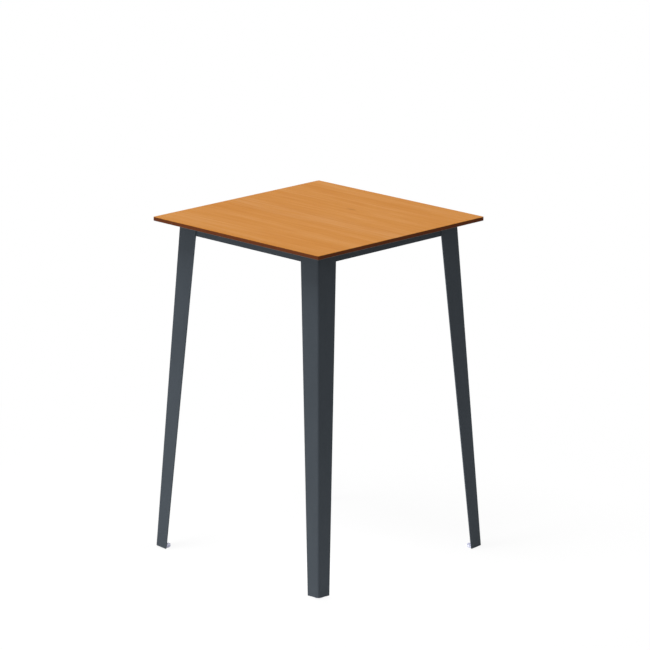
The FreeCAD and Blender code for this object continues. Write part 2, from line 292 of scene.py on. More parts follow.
laminate_backing, backing, backing_place = new_finish("balancing_sheet")
emboss = noise(backing_place, (900.0, 900.0, 900.0))
mottle = noise(backing_place, (25.0, 25.0, 25.0), 3.0)
backing_colour = backing.blend(mottle.step(0.3, 0.7), paint(106, 97, 89), paint(115, 106, 97))
surface(backing, Base_Color=backing_colour, Roughness=0.55 + (mottle - 0.5) * 0.2, Specular_IOR_Level=0.3,
        Normal=bump(emboss, 0.05 * MM))
dress(laminate_backing, "tabletop_backing_sheet")

# %% [markdown]
# Legs, rails, plates and welds are coated together with anthracite powder that melts in an oven.
# It flows to a fine even orange peel, half a millimetre to a millimetre across, and it draws back from
# sharp edges, where the coat is thinner, paler and a little smoother. Pieces carry an attribute named
# edge, which is 1 along the middle of their softened edges and 0 on their flat faces.
# Its colour is painted a little lighter on the raised grit and darker in the hollows of the peel: painted
# highlights and painted shade in the relief.

# %% Powder coat of the steel
powder_coat, coat, coat_place = new_finish("anthracite_powder_coat")
peel = noise(coat_place, (1100.0, 1100.0, 1100.0))
grit = noise(coat_place, (3500.0, 3500.0, 3500.0), 1.0)
drift = noise(coat_place, (14.0, 14.0, 5.0), 3.0)
edge = coat.add("ShaderNodeAttribute", {"attribute_name": "edge"}, output="Fac")
rubbed = edge * noise(coat_place, (60.0, 60.0, 60.0), 3.0).step(0.35, 0.7)
coat_colour = coat.blend(drift.step(0.25, 0.75), paint(67, 74, 81), paint(72, 79, 86))
# Painted highlight: specks a little lighter where the grit stands up in the relief.
coat_colour = coat.blend(grit.step(0.50, 0.75) * 0.5, coat_colour, paint(88, 95, 102))
# Painted shade: darker in the hollows of the orange peel.
coat_colour = coat.blend(peel.step(0.45, 0.25) * 0.5, coat_colour, paint(54, 60, 66))
coat_colour = coat.blend(rubbed * 0.5, coat_colour, paint(104, 110, 114))
surface(coat, Base_Color=coat_colour, Roughness=0.50 + (drift - 0.5) * 0.16 - rubbed * 0.1,
        Specular_IOR_Level=0.10, Normal=bump(peel * 0.7 + grit * 0.3, 0.20 * MM))
print("powder coat ready for the frame's pieces")

# %% [markdown]
# Screws, washers, nuts and the glides' studs are zinc plated steel: bright, slightly uneven and a
# little blue. The inserts in the board are turned brass. Both are metals, so their colour is the
# colour of their reflections, and roughness that changes over the surface does the rest.

# %% Zinc and brass
zinc, plate, plate_place = new_finish("bright_zinc")
spangle = noise(plate_place, (420.0, 420.0, 420.0), 3.0)
stain = noise(plate_place, (90.0, 90.0, 90.0))
zinc_colour = plate.blend(stain.step(0.3, 0.7), paint(171, 175, 180), paint(190, 190, 184))
surface(plate, Base_Color=zinc_colour, Metallic=1.0, Roughness=0.30 + spangle * 0.2,
        Normal=bump(spangle, 0.01 * MM))

brass, turned_brass, brass_place = new_finish("turned_brass")
tool_marks = noise(brass_place, (300.0, 300.0, 6000.0), 1.0)
brass_colour = turned_brass.blend(tool_marks, paint(178, 144, 76), paint(201, 168, 98))
surface(turned_brass, Base_Color=brass_colour, Metallic=1.0, Roughness=0.28 + tool_marks * 0.2,
        Normal=bump(tool_marks, 0.02 * MM))
dress(brass, "board_inserts")

# %% [markdown]
# The glides under the feet are moulded in a pale, slightly lilac grey plastic. The mould was spark
# eroded, which leaves a fine matt grain, and the rim that slides on floors is scuffed a little darker.
# The scuffs follow the height above the floor, which Object coordinates give in metres.

# %% Moulded plastic of the glides
glide_plastic, moulded, moulded_place = new_finish("moulded_plastic")
spark = noise(moulded_place, (1600.0, 1600.0, 1600.0))
swirl = noise(moulded_place, (70.0, 70.0, 120.0))
moulded_xyz = moulded.add("ShaderNodeSeparateXYZ", {}, {"Vector": moulded_place})
low_down = moulded_xyz.out("Z").step(2.5 * MM, 0.2 * MM)
scuff = low_down * noise(moulded_place, (260.0, 260.0, 1400.0), 3.0).step(0.4, 0.7)
plastic_colour = moulded.blend(swirl.step(0.3, 0.7), paint(222, 224, 249), paint(228, 230, 252))
plastic_colour = moulded.blend(scuff * 0.5, plastic_colour, paint(132, 132, 136))
surface(moulded, Base_Color=plastic_colour, Roughness=0.42 + spark * 0.15 + scuff * 0.2,
        Normal=bump(spark - scuff * 0.5, 0.03 * MM))
print("glide plastic ready")

# %% [markdown]
# What repeats or follows a rule is grown by Geometry Nodes. A tree has named inputs for its sizes, ends
# in Realize Instances and Set Material, and is run once. Its result is kept as a plain mesh, because a
# library part has to carry its shape in its own mesh.

# %% Helpers for grown pieces
def new_rule(name, inputs):
    """A geometry tree with named inputs: the tree, its builder and a wire for each input."""
    tree = bpy.data.node_groups.new(name, "GeometryNodeTree")
    tree.interface.new_socket("Geometry", in_out="OUTPUT", socket_type="NodeSocketGeometry")
    for title, kind in {"Geometry": "Geometry", **inputs, "Material": "Material"}.items():
        tree.interface.new_socket(title, in_out="INPUT", socket_type="NodeSocket" + kind)
    builder = Builder(tree)
    entry = builder.add("NodeGroupInput")
    return tree, builder, {socket.name: entry.out(socket.name) for socket in entry.socket.node.outputs
                           if socket.name}


def end_rule(builder, given, shape):
    """Ends a tree with real, smooth, painted faces."""
    real = builder.add("GeometryNodeRealizeInstances", {}, {"Geometry": shape})
    smooth = builder.add("GeometryNodeSetShadeSmooth", {}, {0: real})
    painted = builder.add("GeometryNodeSetMaterial", {}, {"Geometry": smooth, "Material": given["Material"]})
    builder.add("NodeGroupOutput", {}, {"Geometry": painted})


def shown(name, mesh):
    """A new object in the scene, at the origin."""
    piece = bpy.data.objects.new(name, mesh)
    bpy.context.scene.collection.objects.link(piece)
    return piece


def settled(piece):
    """Turns what a piece's modifiers make into its own plain mesh."""
    depsgraph = bpy.context.evaluated_depsgraph_get()
    mesh = bpy.data.meshes.new_from_object(piece.evaluated_get(depsgraph), depsgraph=depsgraph)
    piece.modifiers.clear()
    piece.data = mesh
    mesh.name = piece.name
    return piece


def grown(name, tree, values, start=None, edge_radius=0.0):
    """Runs a tree on a start mesh, softens the sharp edges and keeps the result as a plain mesh."""
    piece = shown(name, start or bpy.data.meshes.new(name))
    rule = piece.modifiers.new("rule", "NODES")
    rule.node_group = tree
    for socket in tree.interface.items_tree:
        if socket.in_out == "INPUT" and socket.name in values:
            rule[socket.identifier] = values[socket.name]
    if not edge_radius:
        return settled(piece)
    soften(piece, edge_radius)
    settled(piece)
    mark_edges(piece, edge_radius)
    return piece


def soften(piece, radius):
    """Rounds the edges that a cutter leaves, and keeps the flat faces flat in the shading."""
    rounding = piece.modifiers.new("rounding", "BEVEL")
    rounding.width = radius
    rounding.segments = 2
    rounding.limit_method = "ANGLE"
    rounding.angle_limit = math.radians(35)
    rounding.use_clamp_overlap = True
    shading = piece.modifiers.new("shading", "WEIGHTED_NORMAL")
    shading.mode = "FACE_AREA"
    shading.weight = 50


def mark_edges(piece, radius):
    """Writes the attribute edge: 1 on points that lie only among the narrow faces of a rounding."""
    shape = bmesh.new()
    shape.from_mesh(piece.data)
    thin = [face.calc_area() < 0.45 * radius * face.calc_perimeter() for face in shape.faces]
    marks = [float(all(thin[face.index] for face in vertex.link_faces)) for vertex in shape.verts]
    shape.free()
    piece.data.attributes.new("edge", "FLOAT", "POINT").data.foreach_set("value", marks)


def stands_for(piece, slot, *nodes):
    """Puts a piece of the still frame in the place of solids."""
    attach(piece, "table_frame")
    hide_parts(*nodes)
    print(piece.name, "for", len(nodes), "solid(s),", len(piece.data.polygons), "faces")


print("helpers for grown pieces ready")

# %% [markdown]
# Each leg is one long strip of 3 mm sheet, wider at the board than at the foot and folded lengthwise
# to a right angle round a 3 mm inner radius. It leans outwards both ways and its foot is cut square to
# the fold. All of that is a rule, so the tree takes a plain box, counts along its length, and sets each
# point to its place: straight, round the fold, straight. Three more turned copies make the other legs.

# %% Legs folded by a rule
leg_sheet = 3 * MM
fold_outside = 6 * MM
leg_foot_width = 45.5 * MM
fold_steps = 12
leg_rounding = 0.4 * MM


def four_round(builder, shape):
    """Four copies of a shape, a quarter turn apart about the middle of the table."""
    spots = builder.add("GeometryNodePoints", {}, {"Count": 4})
    angle = builder.add("GeometryNodeInputIndex") * (math.pi / 2)
    turn = builder.add("FunctionNodeAxisAngleToRotation", {}, {"Axis": (0, 0, 1), "Angle": angle})
    return builder.add("GeometryNodeInstanceOnPoints", {},
                       {"Points": spots, "Instance": shape, "Rotation": turn})


def off_by(piece, *nodes):
    """The largest distance from the corners of solids to a piece's surface, in millimetres."""
    skin = BVHTree.FromPolygons([vertex.co for vertex in piece.data.vertices],
                                [tuple(face.vertices) for face in piece.data.polygons])
    return max(skin.find_nearest(point)[3] for node in nodes for point in points_of(node)) / MM


folded_legs, bend, leg_size = new_rule("folded_legs", {
    "Sheet": "Float", "Fold Radius": "Float", "Top Width": "Float", "Foot Width": "Float",
    "Top Reach": "Float", "Lean": "Float", "Top Height": "Float", "Foot Height": "Float"})
strip = bend.add("GeometryNodeMeshCube", {}, {"Vertices X": fold_steps + 3, "Vertices Y": 2, "Vertices Z": 2})
strip_xyz = bend.add("ShaderNodeSeparateXYZ", {}, {"Vector": bend.add("GeometryNodeInputPosition")})
count = (strip_xyz.out("X") + 0.5) * (fold_steps + 2)
fold_turn = ((count - 1) / fold_steps).between(0, 1) * (math.pi / 2)
on_first = (1 - count).between(0, 1)
on_second = (count - (fold_steps + 1)).between(0, 1)
fold_radius = leg_size["Fold Radius"] - (0.5 - strip_xyz.out("Y")) * leg_size["Sheet"]
fold_x = leg_size["Fold Radius"] - fold_radius * fold_turn.calc("SINE", fold_turn)
fold_y = leg_size["Fold Radius"] - fold_radius * fold_turn.calc("COSINE", fold_turn)
foot_flat = leg_size["Foot Width"] - leg_size["Fold Radius"]
foot_in = fold_x + fold_y + (on_first + on_second) * foot_flat
foot_cut = leg_size["Lean"] * (leg_size["Foot Width"] - foot_in)
foot_z = leg_size["Foot Height"] + foot_cut / (1 + 2 * leg_size["Lean"] * leg_size["Lean"])
leg_z = foot_z + (strip_xyz.out("Z") + 0.5) * (leg_size["Top Height"] - foot_z)
leg_share = (leg_z - leg_size["Foot Height"]) / (leg_size["Top Height"] - leg_size["Foot Height"])
leg_flat = foot_flat + leg_share * (leg_size["Top Width"] - leg_size["Foot Width"])
leg_reach = leg_size["Top Reach"] + leg_size["Lean"] * (leg_size["Top Height"] - leg_z)
leg_point = bend.add("ShaderNodeCombineXYZ", {}, {
    "X": leg_reach - fold_x - on_first * leg_flat,
    "Y": leg_reach - fold_y - on_second * leg_flat,
    "Z": leg_z})
folded = bend.add("GeometryNodeSetPosition", {}, {"Geometry": strip, "Position": leg_point})
end_rule(bend, leg_size, four_round(bend, folded))

legs = grown("legs", folded_legs, {
    "Sheet": leg_sheet, "Fold Radius": fold_outside, "Top Width": leg_top_width,
    "Foot Width": leg_foot_width, "Top Reach": leg_top_outer, "Lean": leg_lean,
    "Top Height": board_bottom, "Foot Height": foot_height,
    "Material": powder_coat}, edge_radius=leg_rounding)
stands_for(legs, "powder_coat", *["leg_" + corner for corner in corners])
print(f"legs are within {off_by(legs, 'leg_back_right', 'leg_front_left'):.2f} mm of their solids")

# %% [markdown]
# Rails, head plates and foot plates are cut and folded sheet as well. Their solids have every hole and
# notch in place, so a copy of one is the best blank: its points are merged, its flat triangles become
# whole faces, a tree turns it into four, and a rounding takes the sharpness off the cut edges.

# %% Rails and plates
def bare_copy(node):
    """A copy of a solid with merged points, and its flat triangles joined into whole faces."""
    faces = [tuple(face.vertices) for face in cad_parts[node].data.polygons]
    copy = bpy.data.meshes.new(node + "_copy")
    copy.from_pydata(points_of(node), [], faces)
    shape = bmesh.new()
    shape.from_mesh(copy)
    bmesh.ops.remove_doubles(shape, verts=shape.verts, dist=MERGE)
    bmesh.ops.dissolve_limit(shape, angle_limit=math.radians(1), verts=shape.verts, edges=shape.edges)
    shape.to_mesh(copy)
    shape.free()
    return shown(node + "_copy", copy)


def removed(piece):
    """Takes away an object that was only a pattern."""
    bpy.data.objects.remove(piece)


round_the_table, ring, ring_size = new_rule("round_the_table", {"Piece": "Object"})
one_of_four = ring.add("GeometryNodeObjectInfo", {"transform_space": "ORIGINAL"},
                       {"Object": ring_size["Piece"]}, "Geometry")
end_rule(ring, ring_size, four_round(ring, one_of_four))

for name, first, ends, rounding in (("rails", "rail_back", sides, 0.35 * MM),
                                    ("head_plates", "head_plate_back_right", corners, 0.4 * MM),
                                    ("foot_plates", "foot_plate_back_right", corners, 0.4 * MM)):
    pattern = bare_copy(first)
    plates = grown(name, round_the_table, {"Piece": pattern, "Material": powder_coat}, edge_radius=rounding)
    removed(pattern)
    nodes = [name[:-1] + "_" + end for end in ends]
    stands_for(plates, "powder_coat", *nodes)
    print(f"{name} are within {off_by(plates, *nodes):.2f} mm of their solids")

# %% [markdown]
# The head plates and foot plates are welded into the legs, with short runs of bead in the corner
# between plate and leg. A bead is a row of frozen ripples that starts and ends thin. So the tree sends
# a circle along a line, and a sine wave along the line swells it once for every ripple.

# %% Weld beads
bead_radius = 1.9 * MM
bead_step = 0.25 * MM
ripple = 1.3 * MM
head_seam = (9.5 * MM, 18 * MM)     # from and to, in from the leg's corner
foot_seam = (10 * MM, 41 * MM)

weld_bead, torch, bead_size = new_rule("weld_bead", {"Radius": "Float", "Ripple": "Float", "Step": "Float"})
seam = torch.add("GeometryNodeMeshToCurve", {}, {"Mesh": bead_size["Geometry"]})
seam = torch.add("GeometryNodeResampleCurve", {"mode": "LENGTH"},
                 {"Curve": seam, "Length": bead_size["Step"]})
run = torch.add("GeometryNodeSplineParameter", output="Length")
share = run.out("Factor")
wave = run.calc("SINE", run * (2 * math.pi) / bead_size["Ripple"])
taper = (share * (1 - share)).step(0.0, 0.12)
lump = torch.add("ShaderNodeTexNoise", {}, {"Scale": 420.0, "Detail": 1.0})
swell = (0.55 + taper * 0.45) * (0.94 + wave * 0.07 + (lump - 0.5) * 0.25)
disc = torch.add("GeometryNodeCurvePrimitiveCircle", {"mode": "RADIUS"},
                 {"Resolution": 14, "Radius": bead_size["Radius"]})
bead = torch.add("GeometryNodeCurveToMesh", {},
                 {"Curve": seam, "Profile Curve": disc, "Scale": swell, "Fill Caps": True})
end_rule(torch, bead_size, four_round(torch, bead))


def in_corner(in_x, in_y, height):
    """A point in the back right corner, by its distances in from the leg's outer faces."""
    reach = leg_top_outer + leg_lean * (board_bottom - height)
    return reach - in_x, reach - in_y, height


def both_ways(start, end, height):
    """The ends of a seam along each inner face of the leg."""
    one = [in_corner(along, leg_sheet, height) for along in (start, end)]
    other = [in_corner(leg_sheet, along, height) for along in (start, end)]
    return one + other


head_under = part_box("head_plate_back_right")[0].z
foot_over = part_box("foot_plate_back_right")[1].z
seam_points = both_ways(*head_seam, head_under) + both_ways(*foot_seam, foot_over)
seams = bpy.data.meshes.new("seams")
seams.from_pydata(seam_points, [(2 * i, 2 * i + 1) for i in range(len(seam_points) // 2)], [])
welds = grown("weld_beads", weld_bead, {
    "Radius": bead_radius, "Ripple": ripple, "Step": bead_step, "Material": powder_coat}, start=seams)
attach(welds, "table_frame")
print("weld beads:", len(welds.data.polygons), "faces")

# %% [markdown]
# Fasteners are turned parts: rings of points round an axis, joined from one ring to the next. Where a
# ring has flats it follows a hexagon, so one helper turns round heads, hexagon sockets and nuts. A ring
# that is held inside a circle as well gives the curved bevel that a nut has on its corners.

# %% Helper for turned parts
def hexagon_reach(flats, angle):
    """From the axis to the side of a hexagon of that width across its flats, at an angle."""
    return flats / 2 / math.cos((angle + math.pi / 6) % (math.pi / 3) - math.pi / 6)


def turned(name, rings, steps, closed=False, tube=None):
    """A turned mesh from rings of (radius, height) or (radius, height, flats), in millimetres.

    Closed joins the last ring to the first, as on a nut. A tube is a threaded mesh with the number of the
    ring that it starts from, and joins that ring to the next."""
    shape = bmesh.new()
    loops = []
    for radius, height, *flats in rings:
        loop = []
        for step in range(steps):
            angle = 2 * math.pi * step / steps
            reach = min([radius] + [hexagon_reach(width, angle) for width in flats])
            point = Vector((reach * math.cos(angle), reach * math.sin(angle), height)) * MM
            loop.append(shape.verts.new(point))
        loops.append(loop)
    pairs = list(zip(loops, loops[1:] + loops[:1])) if closed else list(zip(loops, loops[1:]))
    if tube:
        pairs.pop(tube[1])
        shape.from_mesh(tube[0])
    for lower, upper in pairs:
        for step in range(steps):
            after = (step + 1) % steps
            shape.faces.new((lower[step], lower[after], upper[after], upper[step]))
    bmesh.ops.remove_doubles(shape, verts=shape.verts, dist=MERGE)
    bmesh.ops.recalc_face_normals(shape, faces=shape.faces)
    for face in shape.faces:
        face.smooth = True
    mesh = bpy.data.meshes.new(name)
    shape.to_mesh(mesh)
    shape.free()
    mesh.set_sharp_from_angle(angle=math.radians(38))
    return mesh


def both_ends(rings, height):
    """Adds the same rings upside down, for a part of that height whose two ends are alike."""
    return rings + [(radius, height - z, *flats) for radius, z, *flats in reversed(rings)]


print(f"a hexagon of 10 mm reaches {hexagon_reach(10, math.pi / 6):.2f} mm at its corners")

# %% [markdown]
# A screw thread is a ridge that climbs one pitch for each turn. A flat grid rolled up does that when
# each column starts a little higher than the last: after a full turn the seam meets itself one pitch
# up, and merging closes it. The ridge fades out at both ends, as a rolled thread does.

# %% Threads grown by a rule
rows_per_turn = 8
rows_on_small = 6
thread_depth = 0.61         # of the pitch, from crest to root

screw_thread, cutter, thread_size = new_rule("screw_thread", {
    "Diameter": "Float", "Pitch": "Float", "Length": "Float", "Base": "Float", "Rows": "Int", "Steps": "Int"})
sheet = cutter.add("GeometryNodeMeshGrid", {}, {
    "Size X": 1.0, "Size Y": 1.0, "Vertices X": thread_size["Rows"], "Vertices Y": thread_size["Steps"]})
sheet_xyz = cutter.add("ShaderNodeSeparateXYZ", {}, {"Vector": cutter.add("GeometryNodeInputPosition")})
row = sheet_xyz.out("X") + 0.5
column = sheet_xyz.out("Y") + 0.5
pitch = thread_size["Pitch"]
climb = row * (thread_size["Length"] + pitch) - pitch + column * pitch
thread_z = climb.calc("MAXIMUM", climb.calc("MINIMUM", climb, thread_size["Length"]), 0.0)
zigzag = row.calc("PINGPONG", row * (thread_size["Length"] + pitch) / pitch, 0.5) * 2
ridge = ((zigzag - 0.16) / 0.7).between(0, 1)
to_end = thread_z.calc("MINIMUM", thread_z, thread_size["Length"] - thread_z) / pitch
thread_radius = thread_size["Diameter"] / 2 - pitch * thread_depth * (1 - ridge * to_end.between(0, 1))
thread_angle = column * (2 * math.pi)
thread_point = cutter.add("ShaderNodeCombineXYZ", {}, {
    "X": thread_radius * column.calc("COSINE", thread_angle),
    "Y": thread_radius * column.calc("SINE", thread_angle),
    "Z": thread_z + thread_size["Base"]})
rolled = cutter.add("GeometryNodeSetPosition", {}, {"Geometry": sheet, "Position": thread_point})
joined = cutter.add("GeometryNodeMergeByDistance", {}, {"Geometry": rolled, "Distance": MERGE})
end_rule(cutter, thread_size, joined)


def thread(diameter, pitch_size, base, turns, steps, rows=rows_per_turn):
    """An open threaded tube, in millimetres, with its root's radius."""
    tube = grown("thread", screw_thread, {
        "Diameter": diameter * MM, "Pitch": pitch_size * MM, "Length": turns * pitch_size * MM,
        "Base": base * MM, "Rows": rows * (turns + 1) + 1, "Steps": steps + 1, "Material": zinc})
    mesh = tube.data
    removed(tube)
    return mesh, diameter / 2 - pitch_size * thread_depth


print("the thread's rule has", len(screw_thread.nodes), "nodes")

# %% [markdown]
# Sixteen weld studs on the legs carry the rails with a washer and a nut each. The places of all
# fasteners are those of the solids: a solid's loose parts give them, and the line from a washer to its
# nut gives the way that a stud leans.

# %% Places of the fasteners
def loose_parts(node):
    """The points of each separate part of a solid's mesh."""
    shape = bmesh.new()
    shape.from_mesh(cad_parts[node].data)
    bmesh.ops.remove_doubles(shape, verts=shape.verts, dist=MERGE)
    parts = []
    for seed in shape.verts:
        if not seed.tag:
            seed.tag = True
            part = [seed]
            for vertex in part:
                for other in [e.other_vert(vertex) for e in vertex.link_edges]:
                    if not other.tag:
                        other.tag = True
                        part.append(other)
            parts.append([vertex.co.copy() for vertex in part])
    shape.free()
    return parts


def middle(points):
    """The middle of the box round some points."""
    return Vector([(min(axis) + max(axis)) / 2 for axis in zip(*points)])


def places(name, bases, axes):
    """Points for fasteners to stand on, each with its axis."""
    mesh = bpy.data.meshes.new(name)
    mesh.from_pydata(bases, [], [])
    mesh.attributes.new("axis", "FLOAT_VECTOR", "POINT").data.foreach_set(
        "vector", [value for axis in axes for value in axis])
    return mesh


def nearest(point, others):
    """The one of the other points that lies nearest."""
    return min(others, key=lambda other: (other - point).length)


nut_middles = [middle(part) for part in loose_parts("rail_nuts")]
washer_middles = [middle(part) for part in loose_parts("rail_washers")]
stud_parts = loose_parts("rail_weld_studs")
stud_axes = [(nut - nearest(nut, washer_middles)).normalized() for nut in nut_middles]
stud_bases = []
for nut, axis in zip(nut_middles, stud_axes):
    part = min(stud_parts, key=lambda points: (middle(points) - nut).length)
    stud_bases.append(nut + axis * min((point - nut).dot(axis) for point in part))
print(len(stud_bases), "studs, leaning", round(math.degrees(math.asin(-stud_axes[0].z)), 2), "degrees down")

# %% [markdown]
# One tree puts a pattern on all its places. It lines the pattern up with the axis of each place and
# turns it by chance, with a fixed seed, because no two screws stop at the same angle.

# %% Rule for fasteners at their places
at_places, spanner, place_size = new_rule("fasteners_at_places", {"Pattern": "Object", "Seed": "Int"})
axis_there = spanner.add("GeometryNodeInputNamedAttribute", {"data_type": "FLOAT_VECTOR"}, {"Name": "axis"})
lined_up = spanner.add("FunctionNodeAlignRotationToVector", {"axis": "Z"}, {"Vector": axis_there})
chance = spanner.add("FunctionNodeRandomValue", {"data_type": "FLOAT"},
                     {2: 0.0, 3: 2 * math.pi, 8: place_size["Seed"]}, 1)
tightened = spanner.add("FunctionNodeAxisAngleToRotation", {}, {"Axis": (0, 0, 1), "Angle": chance})
turned_there = spanner.add("FunctionNodeRotateRotation", {"rotation_space": "LOCAL"},
                           {"Rotation": lined_up, "Rotate By": tightened})
pattern_mesh = spanner.add("GeometryNodeObjectInfo", {"transform_space": "ORIGINAL"},
                           {"Object": place_size["Pattern"]}, "Geometry")
put = spanner.add("GeometryNodeInstanceOnPoints", {}, {
    "Points": place_size["Geometry"], "Instance": pattern_mesh, "Rotation": turned_there})
end_rule(spanner, place_size, put)


def fasteners(node, pattern, bases, axes, seed):
    """Puts a turned pattern on every place and lets the result stand for the solid of that name."""
    model = shown(node + "_pattern", pattern)
    piece = grown(node + "_set", at_places, {"Pattern": model, "Seed": seed, "Material": zinc},
                  start=places(node, bases, axes))
    removed(model)
    stands_for(piece, "zinc", node)
    print(f"{node} are within {off_by(piece, node):.2f} mm of their solids")


print("the rule for fasteners has", len(at_places.nodes), "nodes")

# %% [markdown]
# Eight screws hold the head plates to the board and eight more the rails. Their heads are low domes with
# a flange and a hexagon socket. A head hangs below the sheet that it clamps, whose underside is height 0.

# %% Screws into the board
up = Vector((0, 0, 1))
screw_size = 6.0
screw_pitch = 1.0
screw_steps = 24
screw_into_board = 7            # past the clamped sheet

screw_socket = [(0, -0.9), (2.3, -1.3, 4.0), (2.3, -3.15, 4.0), (2.5, -3.3, 4.3)]
screw_dome = [(3.4, -3.3), (4.1, -3.14), (4.6, -2.75), (4.92, -2.2), (5.0, -1.6)]
screw_flange = [(5.05, -1.2), (5.25, -1.02), (6.2, -0.95), (6.5, -0.75), (6.5, -0.2), (6.35, 0)]
for node, clamped, seed in (("head_plate_screws", 5, 3), ("rail_screws", 3, 5)):
    end = clamped + screw_into_board
    tube, root = thread(screw_size, screw_pitch, 1.0, end - 1, screw_steps, rows=rows_on_small)
    screw_head = screw_socket + screw_dome + screw_flange + [(root, 0)]
    screw_shank = [(root, 1.0), (root, end), (0, end)]
    screw_mesh = turned(node + "_screw", screw_head + screw_shank, screw_steps, tube=(tube, len(screw_head)))
    spots = [middle(part) for part in loose_parts(node)]
    bases = [Vector((spot.x, spot.y, board_bottom - clamped * MM)) for spot in spots]
    fasteners(node, screw_mesh, bases, [up] * len(bases), seed)

# %% [markdown]
# A weld stud has a short flange at its root, where it is fused to the leg. The rail goes over it, then a
# stamped washer with soft rims and a hexagon nut. Nut and washer have two like ends.

# %% Studs, washers and nuts of the rails
nut_height = 6
washer_height = 1.6
stud_steps = 18
stud_turns = 11
stud_thread_start = 1.1
stud_length = stud_thread_start + stud_turns * screw_pitch
round_steps = 36

nut_end = [(3.05, 0.5), (3.5, 0), (4.7, 0), (5.0, 0.1, 10), (5.4, 0.26, 10), (5.8, 0.47, 10)]
nut_mesh = turned("rail_nut", both_ends(nut_end, nut_height), round_steps, closed=True)
nut_bases = [spot - axis * nut_height / 2 * MM for spot, axis in zip(nut_middles, stud_axes)]
fasteners("rail_nuts", nut_mesh, nut_bases, stud_axes, 7)

washer_end = [(3.2, 0.2), (3.35, 0), (5.7, 0), (6.0, 0.25)]
washer_mesh = turned("rail_washer", both_ends(washer_end, washer_height), round_steps, closed=True)
washer_bases = [nearest(spot, washer_middles) - axis * washer_height / 2 * MM
                for spot, axis in zip(nut_middles, stud_axes)]
fasteners("rail_washers", washer_mesh, washer_bases, stud_axes, 11)

tube, root = thread(screw_size, screw_pitch, stud_thread_start, stud_turns, stud_steps, rows=rows_on_small)
stud_root = [(0, 0), (3.75, 0), (3.75, 0.6), (3.55, 0.8), (root, 0.8)]
stud_shank = [(root, stud_thread_start), (root, stud_length), (0, stud_length)]
stud_mesh = turned("weld_stud", stud_root + stud_shank, stud_steps, tube=(tube, len(stud_root)))
fasteners("rail_weld_studs", stud_mesh, stud_bases, stud_axes, 13)

# %% [markdown]
# On each foot plate stands a small round nut, welded on, which the glide's stud screws into. Its bore is
# countersunk at both ends and only its upper rim is bevelled.

# %% Weld nuts of the feet
weld_nut_height = 6.5
weld_nut_rings = [(4.05, 0.5), (4.4, 0), (5.3, 0), (5.5, 0.2), (5.5, 5.5), (5.4, 5.8), (4.9, 6.35),
                  (4.7, weld_nut_height), (4.4, weld_nut_height), (4.05, 6.0)]
weld_nut_mesh = turned("weld_nut", weld_nut_rings, round_steps, closed=True)
weld_nut_bases = [middle(part) - up * weld_nut_height / 2 * MM for part in loose_parts("foot_weld_nuts")]
fasteners("foot_weld_nuts", weld_nut_mesh, weld_nut_bases, [up] * len(weld_nut_bases), 17)

# %% [markdown]
# Under each foot a threaded stud carries a plastic pad, so the table can be levelled. Pad and
# stud are bodies of their own that move: the pad goes up and down and the stud also turns. Each body
# therefore has its own mesh, turned round the axis of its solid. The pad's underside is hollowed so
# that only a ring touches the floor, with the small mark of the moulding gate in the middle.

# %% Glides
pad_low, pad_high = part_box("glide_pad_back_right")
rim = (pad_high.x - pad_low.x) / 2 / MM
brow = pad_high.z / MM
pad_floor = 3.0
pad_steps = 72
chamber_top = 6.2
gate_mark = [(0, 0.5), (1.1, 0.5), (1.4, 0.9)]
foot_ring = [(rim - 6.5, 0.9), (rim - 5.8, 0.35), (rim - 5.3, 0.05), (rim - 5.0, 0), (rim - 2.9, 0)]
foot_rim = [(rim - 2.3, 0.12), (rim - 1.3, 1.0), (rim - 0.5, 1.9), (rim - 0.1, 2.5), (rim, 3.0)]
top_rim = [(rim, brow - 0.6), (rim - 0.08, brow - 0.25), (rim - 0.35, brow - 0.04), (rim - 0.7, brow)]
neck = [(4.5, brow), (4.2, brow - 0.1), (4.1, brow - 0.3), (4.1, chamber_top)]
chamber = [(6.6, chamber_top), (6.6, pad_floor), (0, pad_floor)]
pad_rings = gate_mark + foot_ring + foot_rim + top_rim + neck + chamber
pad_mesh = turned("glide_pad", pad_rings, pad_steps)

glide_size = 8.0
glide_pitch = 1.25
glide_turns = 21
glide_steps = 30
collar_top = 6.0
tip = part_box("glide_stud_back_right")[1].z / MM
thread_start = tip - glide_turns * glide_pitch
glide_tube, glide_root = thread(glide_size, glide_pitch, thread_start, glide_turns, glide_steps)
collar = [(0, pad_floor), (6.1, pad_floor), (6.5, pad_floor + 0.3), (6.5, collar_top - 0.3),
          (6.2, collar_top), (glide_root, collar_top)]
glide_shank = [(glide_root, thread_start), (glide_root, tip)]
glide_socket = [(2.6, tip, 4.4), (2.4, tip - 0.25, 4.0), (2.4, tip - 5, 4.0), (0, tip - 5.8)]
glide_stud_mesh = turned("glide_stud", collar + glide_shank + glide_socket, glide_steps,
                         tube=(glide_tube, len(collar)))


def on_axis(name, mesh, node):
    """A copy of a turned mesh moved to the upright axis of a solid."""
    centre = middle(points_of(node))
    copy = mesh.copy()
    copy.transform(Matrix.Translation((centre.x, centre.y, 0)))
    return shown(name, copy)


for mesh, material in ((pad_mesh, glide_plastic), (glide_stud_mesh, zinc)):
    mesh.materials.clear()
    mesh.materials.append(material)
for corner in corners:
    for kind, mesh, slot in (("glide_pad_", pad_mesh, "glide_plastic"),
                             ("glide_stud_", glide_stud_mesh, "zinc")):
        piece = on_axis(kind + corner + "_turned", mesh, kind + corner)
        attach(piece, kind + corner)
        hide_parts(kind + corner)
print("four glides, each a pad of", len(pad_mesh.polygons), "faces and a stud of",
      len(glide_stud_mesh.polygons), "faces")

# %% [markdown]
# The table stands before a white background. Rays from the camera, and those that come by a reflection,
# see that white, and all other rays see a soft grey sky that fills the shadows.

# %% White background
fill_level = 0.36


def grey(level):
    """A neutral colour, from 0 for black to 1 for white."""
    return level, level, level, 1.0


